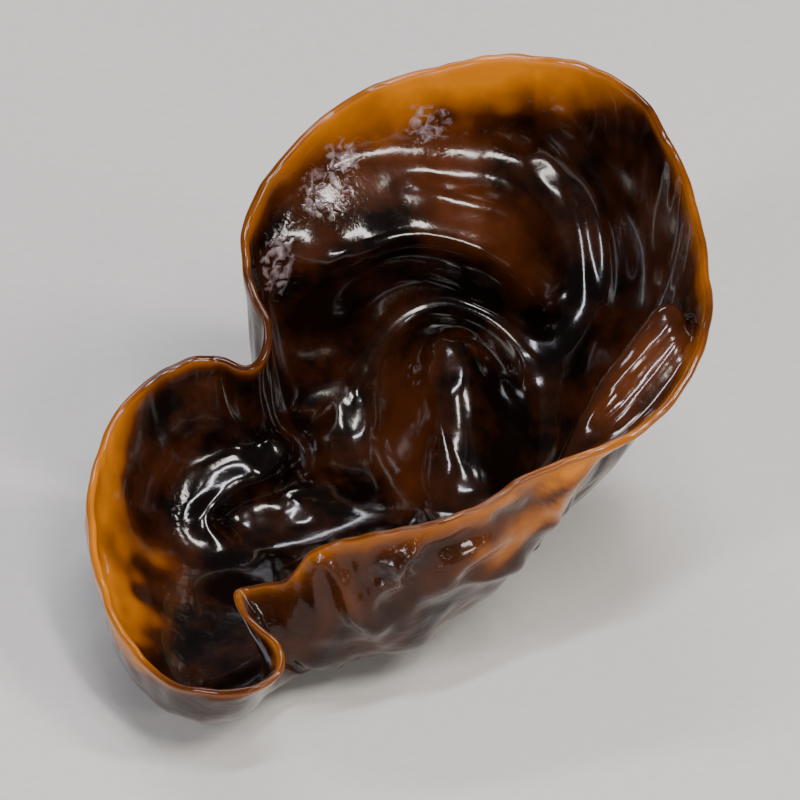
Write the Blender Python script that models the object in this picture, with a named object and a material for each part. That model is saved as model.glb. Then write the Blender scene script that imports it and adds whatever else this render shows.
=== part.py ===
"""A soaked wood ear: one thin, folded, cup-shaped fruiting body that stands on the flat cut of its foot.

The ear is a single sheet of flesh. A closed rim curve is drawn in space, the sheet is lofted from the
foot to that rim, the rolls and folds are raised on it, and the sheet is then given its thickness.
Sizes are in millimetres and go into the mesh in metres. X runs across the ear from the lobe to the
right wall, Y from the lip to the back wall and Z up. The origin is the centre of the cut.
"""

import bpy
import numpy as np

MM = 0.001

# The forms are placed as they are seen from the front, looking this far down on the cup
LOOK_DOWN = np.radians(33.0)

# Flesh
BODY_THICKNESS = 2.2
MARGIN_THICKNESS = 1.0
THICKENS_OVER = 0.45  # share of the way from the rim to the foot
PLEAT_PLACE = 0.45  # share of the way round
PLEAT_HALF_WIDTH = 0.10
PLEAT_THINNING = 0.3

# Foot: the stub that held the ear to its log, cut off flat
FOOT_HEIGHT = 3.5
FOOT_HALF_ACROSS = 6.8
FOOT_HALF_DEEP = 5.8
CUT_RINGS = [(0.5, 0.0), (1.0, 0.0)]  # (share of the oval, height)
SIDE_RINGS = [(1.04, 0.4), (1.06, 1.0), (1.12, 1.6)]  # (share of the oval, height)
FLARE_OUT = 0.40  # share of the way out from the last side ring to the belly
FLARE_UP = 0.65  # share of the way up from it to the belly
BELLY_CLEARS_FOOT = 1.45  # in half widths of the oval

# Rim of the ear as (across, back, height): top of the back wall, right wall, lip, tight
# pleat, front of the lobe, left of the lobe, notch, left wall
RIM = [
    (13.6, 29.9, 49.5), (19.7, 27.9, 49.5), (24.7, 24.1, 48.5), (28.7, 16.0, 46.5),
    (31.2, 7.4, 43.5), (32.7, -3.0, 39.5), (32.3, -10.3, 36.5), (29.4, -16.1, 33.0),
    (25.1, -20.2, 30.5), (20.4, -22.5, 29.0), (15.4, -24.4, 28.5), (10.7, -27.5, 27.5),
    (5.3, -30.5, 26.0), (-0.5, -32.2, 25.0), (-7.3, -32.7, 24.0), (-12.3, -32.2, 22.0),
    (-14.9, -32.1, 18.5), (-17.7, -31.0, 16.3), (-21.2, -30.4, 15.2), (-19.4, -35.6, 15.2),
    (-16.3, -39.5, 14.3), (-15.9, -43.8, 13.2), (-20.3, -46.4, 12.3), (-26.7, -44.5, 11.5),
    (-31.8, -38.2, 11.3), (-35.0, -31.5, 12.5), (-37.2, -24.1, 15.0), (-37.9, -17.5, 18.0),
    (-36.8, -10.1, 20.5), (-34.7, -5.3, 23.0), (-31.1, -0.4, 24.5), (-26.7, 2.0, 25.5),
    (-23.1, 2.8, 25.0), (-20.3, 1.6, 24.5), (-18.1, 3.7, 27.0), (-19.2, 6.2, 30.5),
    (-20.6, 10.0, 34.5), (-19.9, 13.9, 38.0), (-17.4, 17.7, 41.5), (-12.7, 22.4, 44.5),
    (-6.9, 25.8, 47.0), (-0.8, 28.1, 48.5), (6.4, 29.2, 49.5),
]

# How the wall runs from the foot to the rim at each share of the way round:
# (share, reach of the floor, sag of the floor, reach of the wall, height of the wall).
# A reach or a height of 1 is as far out or as high as the rim there
WALL = [
    (0.00, 0.90, 0.0, 1.02, 0.35),
    (0.10, 0.72, 0.0, 0.94, 0.33),
    (0.16, 0.52, 0.0, 0.68, 0.31),
    (0.22, 0.44, 0.0, 0.48, 0.30),
    (0.27, 0.50, 0.5, 0.62, 0.28),
    (0.31, 0.70, 1.5, 0.90, 0.28),
    (0.36, 0.90, 2.0, 1.06, 0.28),
    (0.45, 0.85, 2.0, 1.02, 0.20),
    (0.55, 0.85, 2.0, 1.02, 0.12),
    (0.65, 0.80, 1.5, 1.03, 0.22),
    (0.75, 0.80, 0.5, 0.95, 0.35),
    (0.85, 0.80, 0.0, 1.05, 0.35),
]

# How far round the turn the rim is blurred to give the wall, the floor and the floor's bearings,
# and how far the normals are that the two faces stand off along
WALL_SOFTNESS = 0.020
FLOOR_SOFTNESS = 0.035
BEARING_SOFTNESS = 0.080
NORMAL_SOFTNESS = 0.008
WALL_TABLE_SOFTNESS = 0.012  # the steps between the rows of WALL

# Collar: the right margin rolls outward, so a crest stands inside the rim with a gutter between
COLLAR_FROM = 0.135
COLLAR_TO = 0.275
COLLAR_PLACE = 0.84  # share of the way from the foot to the rim
COLLAR_CREST = (-5.0, 6.5, 2.0)  # from the rim to the crest
COLLAR_LEAST = 0.2  # share of that which is left at the collar's ends
COLLAR_FULL_OVER = 0.25  # share of its half length that is pulled to the crest all the way
COLLAR_BELOW = 0.075  # widths of the crest below and above it, as shares of the way along
COLLAR_ABOVE = 0.085
COLLAR_FADES = (0.93, 1.0)

# Where the forms lie. Round the ear: shares where they rise from nothing, reach their full
# height, start to fall and are gone again. Along the sheet: shares where they rise
NEAR_WALL_ROUND = (0.20, 0.25, 0.52, 0.60)
NEAR_WALL_ALONG = (0.40, 0.60)
RIGHT_WALL_ROUND = (0.13, 0.17, 0.24, 0.28)
RIGHT_WALL_ALONG = (0.50, 0.65)
LIP_ROUND = (0.20, 0.235, 0.42, 0.46)
LIP_ALONG = (0.35, 0.50)
ROLLS_FADE = (0.88, 1.0)  # shares along where the rolls run out below the rim
ROLL_ENDS = 0.3  # share of a roll's length over which each of its ends fades

# Forms of the inner face, each a path of (across, rise) as seen from the front
ARCH_PATH = [
    (-11.6, 24.7), (-14.9, 31.9), (-12.0, 38.6), (-4.1, 42.2),
    (4.9, 41.0), (11.8, 37.0), (16.2, 30.9), (18.2, 23.0),
]
ARCH_HEIGHT = 6.8
ARCH_WIDTH = 5.2
CHANNEL_PATH = [(-0.1, 50.9), (7.8, 49.9), (15.0, 46.6), (20.4, 39.4), (22.6, 30.1), (21.1, 21.8)]
CHANNEL_DEPTH = 1.8
CHANNEL_WIDTH = 3.5
LOBE_FOLD_PATH = [(-10.5, 12.1), (-18.1, 9.2), (-24.9, 5.6), (-26.7, 2.7), (-23.9, -0.2), (-18.1, -0.9)]
LOBE_FOLD_HEIGHT = 1.5
LOBE_LINE_PATH = [(-10.2, 18.2), (-15.6, 13.1), (-23.9, 8.5), (-28.9, 6.3)]
LOBE_LINE_HEIGHT = 1.2
LOBE_WIDTH = 1.8

# Knob: the egg-shaped lump of flesh over the foot
KNOB_PLACE = (3.1, 14.5)
KNOB_LEFT = 7.0
KNOB_RIGHT = 8.2
KNOB_LONG = 10.5
KNOB_TURN = np.radians(8.0)
KNOB_HEIGHT = 12.0
KNOB_STEEPNESS = 3.0
KNOB_WAY = np.array([0.0, -0.35, 0.94])  # the way it stands out of the floor

# Pleats that hang down the outer face of the lip: (path, height, width)
LIP_PLEATS = [
    ([(22.2, 12.4), (15.7, 9.9), (13.2, 6.3), (9.3, 0.9), (3.5, -4.5)], 1.3, 1.3),
    ([(13.6, 8.5), (9.3, 4.1), (4.2, 0.5), (-0.1, -3.1), (-2.3, -5.9)], 1.1, 1.2),
    ([(5.3, 3.8), (-0.1, 1.6), (-4.4, -1.3), (-5.9, -5.2)], 0.9, 1.1),
    ([(-12.0, 0.2), (-9.1, -2.3), (-8.4, -5.6), (-5.9, -8.1)], 1.2, 1.0),
]

# Share of each inner form that shows through on the outer face
ROLLS_SHOW_OUTSIDE = 0.5
KNOB_SHOWS_OUTSIDE = 0.3

# Veins on the outer face, gathered toward the foot
VEIN_COUNT = 11
VEIN_HEIGHT = 0.45
VEIN_SWAY = 1.5
VEINS_ALONG = (0.12, 0.25, 0.35, 0.60)

# Slow swells of the flesh: (height, turns round the ear, turn along the sheet, start), angles in radians
SWELLS = [(0.5, 4, 6.0, 0.0), (0.3, 7, -5.0, 2.0)]

# Resolution: the surface is worked out finely, and every few points of it become the solid
FINE_AROUND = 352
FINE_ALONG = 193
KEEP_AROUND = 4
KEEP_ALONG = 8
SPOTS_PER_WIDTH = 2.0  # how close a roll's Gaussians are laid
SHARP_ANGLE = np.radians(50.0)


def smoothstep(low, high, x):
    """An S-shaped step from 0 at low to 1 at high."""
    t = np.clip((x - low) / (high - low), 0.0, 1.0)
    return t * t * (3.0 - 2.0 * t)


def window(x, rise, full, fall, gone):
    """1 between full and fall, 0 below rise and above gone, with S-shaped steps between."""
    return smoothstep(rise, full, x) * (1.0 - smoothstep(fall, gone, x))


def closed_curve(points, shares):
    """A closed cubic spline through the points, read at shares of one turn.

    The knots are spaced by the chord lengths to the power 0.75. The second derivatives solve
    the usual continuity equations of a cubic spline, here with its two ends joined.
    """
    count = len(points)
    following = np.roll(points, -1, axis=0)
    gap = np.linalg.norm(following - points, axis=1) ** 0.75
    knots = np.concatenate([[0.0], np.cumsum(gap)])
    slope = (following - points) / gap[:, None]
    here = np.arange(count)
    matrix = np.diag((np.roll(gap, 1) + gap) / 3.0)
    matrix[here, here - 1] += np.roll(gap, 1) / 6.0
    matrix[here, (here + 1) % count] += gap / 6.0
    bend = np.linalg.solve(matrix, slope - np.roll(slope, 1, axis=0))
    at = shares * knots[-1]
    k = np.clip(np.searchsorted(knots, at, side="right") - 1, 0, count - 1)
    k1 = (k + 1) % count
    width = gap[k][:, None]
    before = (knots[k + 1] - at)[:, None]
    after = (at - knots[k])[:, None]
    cubic = (bend[k] * before**3 + bend[k1] * after**3) / (6.0 * width)
    from_start = (points[k] / width - bend[k] * width / 6.0) * before
    from_end = (points[k1] / width - bend[k1] * width / 6.0) * after
    return cubic + from_start + from_end


def smooth_ring(ring, width):
    """The ring blurred with a Gaussian whose width is a share of the whole turn."""
    waves = np.fft.rfft(ring, axis=0).T
    fading = np.exp(-0.5 * (2.0 * np.pi * np.arange(waves.shape[-1]) * width) ** 2)
    return np.fft.irfft((waves * fading).T, len(ring), axis=0)


def wall_values(shares):
    """The columns of WALL at shares of the turn: S-shaped steps between its rows, then blurred."""
    table = np.array(WALL)
    table = np.vstack([table[-1] - np.eye(5)[0], table, table[0] + np.eye(5)[0]])
    k = np.searchsorted(table[:, 0], shares, side="right") - 1
    t = smoothstep(table[k, 0], table[k + 1, 0], shares)[:, None]
    return smooth_ring(table[k, 1:] * (1.0 - t) + table[k + 1, 1:] * t, WALL_TABLE_SOFTNESS)


def front_view(points):
    """Where points are seen from the front: across, and rise = back sin a + height cos a."""
    rise = points[..., 1] * np.sin(LOOK_DOWN) + points[..., 2] * np.cos(LOOK_DOWN)
    return points[..., 0], rise


def facing(points):
    """Unit normals of a grid of points, on the cup's inner side: around crossed with outward."""
    around = np.roll(points, -1, axis=0) - np.roll(points, 1, axis=0)
    outward = np.gradient(points, axis=1)
    normal = np.cross(around, outward)
    normal[:, 0] = normal[:, 1:3].sum(axis=(0, 1))
    return normal / np.linalg.norm(normal, axis=-1, keepdims=True)


def roll(seen, path, height, width):
    """A rounded roll along a path: Gaussians laid along it and added up, fading at both ends."""
    path = np.array(path)
    ends = np.vstack([2.0 * path[0] - path[1], path, 2.0 * path[-1] - path[-2]])
    t = np.linspace(0.0, len(path) - 1.0, 200)
    k = np.minimum(t.astype(int), len(path) - 2)
    f = (t - k)[:, None]
    a, b, c, d = (ends[k + i] for i in range(4))
    line = b + 0.5 * f * (c - a + f * (2.0 * a - 5.0 * b + 4.0 * c - d + f * (3.0 * (b - c) + d - a)))
    run = np.concatenate([[0.0], np.cumsum(np.linalg.norm(np.diff(line, axis=0), axis=1))])
    count = int(np.ceil(SPOTS_PER_WIDTH * run[-1] / width))
    share = (np.arange(count) + 0.5) / count
    spots = np.stack([np.interp(share * run[-1], run, line[:, i]) for i in range(2)], axis=1)
    gain = height * run[-1] / count / (width * np.sqrt(np.pi))
    gains = gain * smoothstep(0.0, ROLL_ENDS, share) * smoothstep(0.0, ROLL_ENDS, 1.0 - share)
    away = (seen[0][..., None] - spots[:, 0]) ** 2 + (seen[1][..., None] - spots[:, 1]) ** 2
    return (gains * np.exp(-away / width**2)).sum(axis=-1)


def knob(seen):
    """An egg-shaped lump: height times exp(-r^steepness), with r in half widths of a turned egg."""
    across = seen[0] - KNOB_PLACE[0]
    rise = seen[1] - KNOB_PLACE[1]
    wide = across * np.cos(KNOB_TURN) + rise * np.sin(KNOB_TURN)
    long = rise * np.cos(KNOB_TURN) - across * np.sin(KNOB_TURN)
    wide = wide / np.where(wide < 0.0, KNOB_LEFT, KNOB_RIGHT)
    return KNOB_HEIGHT * np.exp(-((wide**2 + (long / KNOB_LONG) ** 2) ** (KNOB_STEEPNESS / 2.0)))


def evened(ring, around):
    """The ring seen from above, its pleats evened out: radius and bearing are blurred separately."""
    bearing = np.unwrap(np.arctan2(ring[:, 1], ring[:, 0])) + 2.0 * np.pi * around
    radius = smooth_ring(np.hypot(ring[:, 0], ring[:, 1]), FLOOR_SOFTNESS)
    bearing = smooth_ring(bearing, BEARING_SOFTNESS) - 2.0 * np.pi * around
    return np.stack([radius * np.cos(bearing), radius * np.sin(bearing), 0.0 * radius], axis=1)


def sheet(around, along):
    """The plain sheet: a cubic Bezier from the foot by floor and wall to the rim, all the way round."""
    rim = closed_curve(np.array(RIM), around)
    foot = np.array([0.0, 0.0, FOOT_HEIGHT])
    floor_reach, sag, wall_reach, wall_height = wall_values(around).T[..., None]
    even_rim = evened(rim, around)
    soft_rim = smooth_ring(rim, WALL_SOFTNESS)
    pleat = np.exp(-(((around - PLEAT_PLACE) / PLEAT_HALF_WIDTH) ** 2))[:, None]
    soft_rim[:, :2] += pleat * (even_rim - soft_rim)[:, :2]
    wall = foot + wall_reach * (soft_rim - foot)
    wall[:, 2] = FOOT_HEIGHT + wall_height[:, 0] * (soft_rim[:, 2] - FOOT_HEIGHT)
    floor = foot + floor_reach * even_rim

    def loft(v):
        v = np.asarray(v)[None, :, None]
        near_foot = (1.0 - v) ** 3 * foot + 3.0 * (1.0 - v) ** 2 * v * floor[:, None]
        points = near_foot + 3.0 * (1.0 - v) * v**2 * wall[:, None] + v**3 * rim[:, None]
        points[..., 2] -= sag * (4.0 * v * (1.0 - v))[..., 0] ** 2
        return points

    middle = 0.5 * (COLLAR_FROM + COLLAR_TO)
    half = 0.5 * (COLLAR_TO - COLLAR_FROM)
    inside = np.clip((around - middle) / half, -1.0, 1.0)
    swell = np.cos(0.5 * np.pi * inside)[:, None]
    strength = 1.0 - smoothstep(COLLAR_FULL_OVER, 1.0, np.abs(inside))[:, None]
    crest = rim + np.array(COLLAR_CREST) * (COLLAR_LEAST + (1.0 - COLLAR_LEAST) * swell)
    pull = (crest - loft([COLLAR_PLACE])[:, 0]) * strength
    width = np.where(along < COLLAR_PLACE, COLLAR_BELOW, COLLAR_ABOVE)
    bump = np.exp(-(((along - COLLAR_PLACE) / width) ** 2)) * (1.0 - smoothstep(*COLLAR_FADES, along))
    return loft(along) + pull[:, None] * bump[None, :, None]


def inner_forms(seen, u, v):
    """How far the rolls and the knob stand out of the sheet; the near wall stays plain."""
    near_wall = window(u, *NEAR_WALL_ROUND) * smoothstep(*NEAR_WALL_ALONG, v)
    right_wall = window(u, *RIGHT_WALL_ROUND) * smoothstep(*RIGHT_WALL_ALONG, v)
    open_side = (1.0 - near_wall) * (1.0 - right_wall)
    rolls = roll(seen, ARCH_PATH, ARCH_HEIGHT, ARCH_WIDTH)
    rolls -= roll(seen, CHANNEL_PATH, CHANNEL_DEPTH, CHANNEL_WIDTH)
    rolls += roll(seen, LOBE_FOLD_PATH, LOBE_FOLD_HEIGHT, LOBE_WIDTH)
    rolls += roll(seen, LOBE_LINE_PATH, LOBE_LINE_HEIGHT, LOBE_WIDTH)
    rolls *= open_side * (1.0 - smoothstep(*ROLLS_FADE, v))
    return rolls, knob(seen) * open_side


def outer_forms(seen, u, v):
    """Pleats of the lip and veins gathered toward the foot, as heights on the outer face."""
    lip = window(u, *LIP_ROUND) * smoothstep(*LIP_ALONG, v)
    pleats = sum(roll(seen, path, height, width) for path, height, width in LIP_PLEATS)
    vein = np.cos(2.0 * np.pi * VEIN_COUNT * u + VEIN_SWAY * np.sin(6.0 * np.pi * u))
    veins = VEIN_HEIGHT * vein * window(v, *VEINS_ALONG)
    return pleats * lip + veins


def waves(u, v):
    """The sum of SWELLS, each a sine round the ear, faded out at the foot and the rim."""
    swell = sum(high * np.sin(2.0 * np.pi * turns * u + along * v + start)
                for high, turns, along, start in SWELLS)
    return swell * (4.0 * v * (1.0 - v)) ** 2


def thickness(u, v):
    """Thin at the margin, full over the foot, and thinner where the flesh is pleated."""
    swell = smoothstep(0.0, THICKENS_OVER, 1.0 - v)
    pleat = np.exp(-(((u - PLEAT_PLACE) / PLEAT_HALF_WIDTH) ** 2)) * smoothstep(0.15, 0.4, v)
    full = MARGIN_THICKNESS + (BODY_THICKNESS - MARGIN_THICKNESS) * swell
    return full * (1.0 - PLEAT_THINNING * pleat)


def skin():
    """Inner and outer face of the flesh, and the rounded edge between them, as fine grids."""
    around = np.arange(FINE_AROUND) / FINE_AROUND
    along = np.linspace(0.0, 1.0, FINE_ALONG)
    u, v = np.meshgrid(around, along, indexing="ij")
    plain = sheet(around, along)
    up = smooth_ring(facing(plain), NORMAL_SOFTNESS)
    up /= np.linalg.norm(up, axis=-1, keepdims=True)
    plain = plain + up * waves(u, v)[..., None]
    seen = front_view(plain)
    rolls, lump = inner_forms(seen, u, v)
    half = 0.5 * thickness(u, v)
    lump = lump[..., None] * KNOB_WAY
    inner = plain + up * (half + rolls)[..., None] + lump
    raised = outer_forms(seen, u, v) - ROLLS_SHOW_OUTSIDE * rolls
    outer = plain - up * (half + raised)[..., None] + KNOB_SHOWS_OUTSIDE * lump
    outward = plain[:, -1] - plain[:, -2]
    outward /= np.linalg.norm(outward, axis=1, keepdims=True)
    edge = plain[:, -1] + outward * half[:, -1:]
    return inner, outer, edge


def foot_rings(outer, first):
    """Rings of the foot, from the middle of its cut up to the belly: an oval that flares out."""
    angle = np.arctan2(outer[:, first, 1], outer[:, first, 0])
    heading = np.stack([np.cos(angle), np.sin(angle)], axis=1)
    oval = 1.0 / np.hypot(heading[:, 0] / FOOT_HALF_ACROSS, heading[:, 1] / FOOT_HALF_DEEP)

    def ring(size, height):
        flat = heading * oval[:, None] * size
        return np.concatenate([flat, np.full((len(flat), 1), height)], axis=1)

    rings = [ring(size, height) for size, height in CUT_RINGS + SIDE_RINGS]
    flare = rings[-1] + (outer[:, first] - rings[-1]) * np.array([FLARE_OUT, FLARE_OUT, FLARE_UP])
    return rings + [flare]


def ear_rows():
    """Every row of points that the solid keeps, from the foot's cut over the rim to the cup's floor."""
    inner, outer, edge = (grid[::KEEP_AROUND] for grid in skin())
    size = np.hypot(outer[..., 0] / FOOT_HALF_ACROSS, outer[..., 1] / FOOT_HALF_DEEP)
    first = int(np.argmax(size.min(axis=0) > BELLY_CLEARS_FOOT))
    kept = np.arange(FINE_ALONG - 1, first - KEEP_ALONG // 2, -KEEP_ALONG)[::-1]
    rows = foot_rings(outer, kept[0])
    rows += [outer[:, j] for j in kept]
    rows.append(edge)
    rows += [inner[:, j] for j in range(FINE_ALONG - 1, 0, -KEEP_ALONG)]
    return np.stack(rows, axis=1), inner[0, 0]


def build_ear():
    """One closed mesh: a fan on the cut, quads from row to row, and a fan on the cup's floor."""
    rows, floor = ear_rows()
    around, along = rows.shape[:2]
    points = np.vstack([rows.reshape(-1, 3), [(0.0, 0.0, 0.0)], [floor]]) * MM
    column = np.arange(around)[:, None]
    row = np.arange(along - 1)[None, :]
    here = column * along + row
    beside = (column + 1) % around * along + row
    quads = np.stack([here, here + 1, beside + 1, beside], axis=-1).reshape(-1, 4)
    start = np.arange(around) * along
    after = np.roll(start, -1)
    cut_centre = np.full(around, around * along)
    cut_fan = np.stack([start, after, cut_centre], axis=1)
    floor_fan = np.stack([after + along - 1, start + along - 1, cut_centre + 1], axis=1)
    mesh = bpy.data.meshes.new("ear")
    mesh.from_pydata(points.tolist(), [], quads.tolist() + cut_fan.tolist() + floor_fan.tolist())
    mesh.validate()
    mesh.shade_smooth()
    mesh.set_sharp_from_angle(angle=SHARP_ANGLE)
    ear = bpy.data.objects.new("ear", mesh)
    bpy.context.scene.collection.objects.link(ear)
    return ear


def wet_flesh():
    """Dark brown wet gelatinous flesh."""
    material = bpy.data.materials.new("wet_wood_ear_flesh")
    material.use_nodes = True
    shader = material.node_tree.nodes["Principled BSDF"]
    shader.inputs["Base Color"].default_value = (0.045, 0.016, 0.007, 1.0)
    shader.inputs["Roughness"].default_value = 0.15
    shader.inputs["Metallic"].default_value = 0.0
    return material


def main():
    for thing in list(bpy.data.objects):
        bpy.data.objects.remove(thing, do_unlink=True)
    build_ear().data.materials.append(wet_flesh())


main()
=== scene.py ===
# %% [markdown]
# # A soaked wood ear
#
# A wood ear is a jelly-like mushroom that grows like a small ear on wood. Soaked in water it turns
# into a thin, springy, folded cup of dark brown flesh with an amber margin and a wet shine. This
# lesson builds one ear on top of its plain CAD solid. The whole ear is one sheet of flesh, so it is
# made as one surface: a closed rim, a wall that runs from the foot to that rim, rolls raised on the
# wall, and then the thickness of the flesh.

import math

import bpy
import numpy as np
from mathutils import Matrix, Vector


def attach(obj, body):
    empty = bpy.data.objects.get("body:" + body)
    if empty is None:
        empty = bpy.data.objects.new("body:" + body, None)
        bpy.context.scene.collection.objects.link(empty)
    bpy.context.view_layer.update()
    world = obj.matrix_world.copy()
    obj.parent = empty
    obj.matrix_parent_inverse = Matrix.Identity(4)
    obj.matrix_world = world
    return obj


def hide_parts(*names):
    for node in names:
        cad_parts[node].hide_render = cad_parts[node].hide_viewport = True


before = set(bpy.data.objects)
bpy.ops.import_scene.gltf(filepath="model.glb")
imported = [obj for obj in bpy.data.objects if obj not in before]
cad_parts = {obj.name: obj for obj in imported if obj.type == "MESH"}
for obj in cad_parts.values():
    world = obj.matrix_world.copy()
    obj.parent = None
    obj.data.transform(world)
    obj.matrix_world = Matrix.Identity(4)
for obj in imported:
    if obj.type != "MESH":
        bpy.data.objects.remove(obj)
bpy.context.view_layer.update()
MM = 0.001

# %% [markdown]
# ## Curves that close on themselves
#
# Everything about the ear is a ring: the rim, and the wall below it. A ring could be a Blender
# curve, but numpy gives every point at once and lets the same ring be blurred, which is how a
# crinkled rim turns into a calmer wall further down. The blur is a Gaussian that is applied to the
# ring's Fourier waves, because on a closed ring that has no seam.

# %% Ring helpers
def smoothstep(low, high, x):
    """An S-shaped step: 3t^2 - 2t^3 with t running from 0 at low to 1 at high."""
    t = np.clip((x - low) / (high - low), 0.0, 1.0)
    return t * t * (3.0 - 2.0 * t)


def closed_curve(points, shares):
    """A closed cubic spline through the points, read at shares of one turn.

    The knots are spaced by the chord lengths to the power 0.75. The second derivatives solve
    the usual continuity equations of a cubic spline, here with its two ends joined.
    """
    count = len(points)
    following = np.roll(points, -1, axis=0)
    gap = np.linalg.norm(following - points, axis=1) ** 0.75
    knots = np.concatenate([[0.0], np.cumsum(gap)])
    slope = (following - points) / gap[:, None]
    here = np.arange(count)
    matrix = np.diag((np.roll(gap, 1) + gap) / 3.0)
    matrix[here, here - 1] += np.roll(gap, 1) / 6.0
    matrix[here, (here + 1) % count] += gap / 6.0
    bend = np.linalg.solve(matrix, slope - np.roll(slope, 1, axis=0))
    at = shares * knots[-1]
    k = np.clip(np.searchsorted(knots, at, side="right") - 1, 0, count - 1)
    k1 = (k + 1) % count
    width = gap[k][:, None]
    before = (knots[k + 1] - at)[:, None]
    after = (at - knots[k])[:, None]
    cubic = (bend[k] * before**3 + bend[k1] * after**3) / (6.0 * width)
    from_start = (points[k] / width - bend[k] * width / 6.0) * before
    from_end = (points[k1] / width - bend[k1] * width / 6.0) * after
    return cubic + from_start + from_end


def smooth_ring(ring, width):
    """The ring blurred with a Gaussian whose width is a share of the whole turn."""
    waves = np.fft.rfft(ring, axis=0).T
    fading = np.exp(-0.5 * (2.0 * np.pi * np.arange(waves.shape[-1]) * width) ** 2)
    return np.fft.irfft((waves * fading).T, len(ring), axis=0)


def ring_table(rows, shares, width=0.012):
    """Columns of a table round the turn: S-shaped steps between its rows, then blurred."""
    table = np.array(rows, float)
    turn = np.eye(table.shape[1])[0]
    table = np.vstack([table[-1] - turn, table, table[0] + turn])
    k = np.searchsorted(table[:, 0], shares, side="right") - 1
    t = smoothstep(table[k, 0], table[k + 1, 0], shares)[:, None]
    return smooth_ring(table[k, 1:] * (1.0 - t) + table[k + 1, 1:] * t, width)


# %% [markdown]
# ## The rim
#
# The rim is what the eye reads first: a tall rounded back wall, a right wall that comes down to a
# rolled lip in front, a tight pleat, a low lobe on the left, and a notch where lobe and back wall
# meet. It is a list of points in millimetres, with the origin at the centre of the foot's cut, X to
# the right, Y to the back and Z up.

# %% Rim
RIM = [
    (13.6, 29.9, 49.5), (19.7, 27.9, 49.5), (24.7, 24.1, 48.5), (28.7, 16.0, 46.5),
    (31.2, 7.4, 43.5), (32.7, -3.0, 39.5), (32.3, -10.3, 36.5), (29.4, -16.1, 33.0),
    (25.1, -20.2, 30.5), (20.4, -22.5, 29.0), (15.4, -24.4, 28.5), (10.7, -27.5, 27.5),
    (5.3, -30.5, 26.0), (-0.5, -32.2, 25.0), (-7.3, -32.7, 24.0), (-12.3, -32.2, 22.0),
    (-14.9, -32.1, 18.5), (-17.7, -31.0, 16.3), (-21.2, -30.4, 15.2), (-19.4, -35.6, 15.2),
    (-16.3, -39.5, 14.3), (-15.9, -43.8, 13.2), (-20.3, -46.4, 12.3), (-26.7, -44.5, 11.5),
    (-31.8, -38.2, 11.3), (-35.0, -31.5, 12.5), (-37.2, -24.1, 15.0), (-37.9, -17.5, 18.0),
    (-36.8, -10.1, 20.5), (-34.7, -5.3, 23.0), (-31.1, -0.4, 24.5), (-26.7, 2.0, 25.5),
    (-23.1, 2.8, 25.0), (-20.3, 1.6, 24.5), (-18.1, 3.7, 27.0), (-19.2, 6.2, 30.5),
    (-20.6, 10.0, 34.5), (-19.9, 13.9, 38.0), (-17.4, 17.7, 41.5), (-12.7, 22.4, 44.5),
    (-6.9, 25.8, 47.0), (-0.8, 28.1, 48.5), (6.4, 29.2, 49.5),
]
AROUND = 500  # points round the ear

turn = np.arange(AROUND) / AROUND
rim = closed_curve(np.array(RIM), turn)
rim_length = np.linalg.norm(np.roll(rim, -1, axis=0) - rim, axis=1).sum()
print(f"rim: {len(RIM)} points, {rim_length:.0f} mm round")

# %% [markdown]
# ## The plain sheet
#
# Each spot of the rim is joined to the foot by one cubic Bezier curve, with a point on the floor and
# a point on the wall as its two handles. Modelling by hand would push a cup out of a disc, but here
# four numbers for each direction say how far the floor reaches, how much it sags, and where the
# wall stands. The pleat evens out below the rim, because the flesh gathers only at its margin, and
# on the right the margin rolls outward, so a crest stands inside the rim with a gutter behind it.

# %% Sheet
LOOK_DOWN = math.radians(33.0)
FOOT_HEIGHT = 3.5

# Share of the way round, reach of the floor, sag of the floor, reach and height of the wall
WALL = [
    (0.00, 0.90, 0.0, 1.02, 0.35),
    (0.10, 0.72, 0.0, 0.94, 0.33),
    (0.16, 0.52, 0.0, 0.68, 0.31),
    (0.22, 0.44, 0.0, 0.48, 0.30),
    (0.27, 0.50, 0.5, 0.62, 0.28),
    (0.31, 0.70, 1.5, 0.90, 0.28),
    (0.36, 0.90, 2.0, 1.06, 0.28),
    (0.45, 0.85, 2.0, 1.02, 0.20),
    (0.55, 0.85, 2.0, 1.02, 0.12),
    (0.65, 0.80, 1.5, 1.03, 0.22),
    (0.75, 0.80, 0.5, 0.95, 0.35),
    (0.85, 0.80, 0.0, 1.05, 0.35),
]
WALL_SOFTNESS = 0.020
FLOOR_SOFTNESS = 0.035
BEARING_SOFTNESS = 0.080
NORMAL_SOFTNESS = 0.008
PLEAT_PLACE = 0.45
PLEAT_HALF_WIDTH = 0.10
COLLAR_FROM = 0.135
COLLAR_TO = 0.275
COLLAR_PLACE = 0.84
COLLAR_CREST = (-5.0, 6.5, 2.0)


def evened(ring, around):
    """The ring seen from above with its pleats evened out: radius and bearing are blurred apart."""
    bearing = np.unwrap(np.arctan2(ring[:, 1], ring[:, 0])) + 2.0 * np.pi * around
    radius = smooth_ring(np.hypot(ring[:, 0], ring[:, 1]), FLOOR_SOFTNESS)
    bearing = smooth_ring(bearing, BEARING_SOFTNESS) - 2.0 * np.pi * around
    return np.stack([radius * np.cos(bearing), radius * np.sin(bearing), 0.0 * radius], axis=1)


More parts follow.
